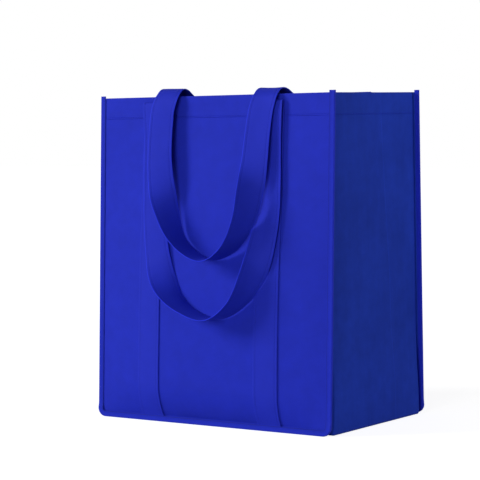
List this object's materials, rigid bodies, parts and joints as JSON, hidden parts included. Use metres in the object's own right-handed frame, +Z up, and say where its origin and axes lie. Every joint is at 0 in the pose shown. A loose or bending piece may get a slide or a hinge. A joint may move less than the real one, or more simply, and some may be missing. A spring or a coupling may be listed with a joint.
{
  "type": "reusable carrier bag",
  "caption": "Open-topped square-based shopping bag sewn from non-woven fabric, with bound seams, full-length strap handles hanging over its front and a loose base board",
  "frame": {"origin": "middle of the underside of the base, on the surface that the bag stands on", "axes": "+X to the right along the front, -Y out of the front where the handles hang, +Z up"},
  "size_m": [0.322, 0.2722, 0.3869],
  "materials": {
    "bag_cloth": "matt royal blue non-woven polypropylene with a fine bonded dot pattern",
    "binding_tape": "matt royal blue non-woven tape, folded and stitched",
    "strap_cloth": "matt royal blue non-woven cloth, folded into a flat strap and stitched along its edges",
    "board": "matt dark grey sheet"
  },
  "bodies": {
    "root": {"front_panel": "bag_cloth", "back_panel": "bag_cloth", "gusset": "bag_cloth", "front_binding": "binding_tape", "back_binding": "binding_tape", "front_handle": "strap_cloth", "back_handle": "strap_cloth", "base_board": "board"}
  },
  "joints": []
}
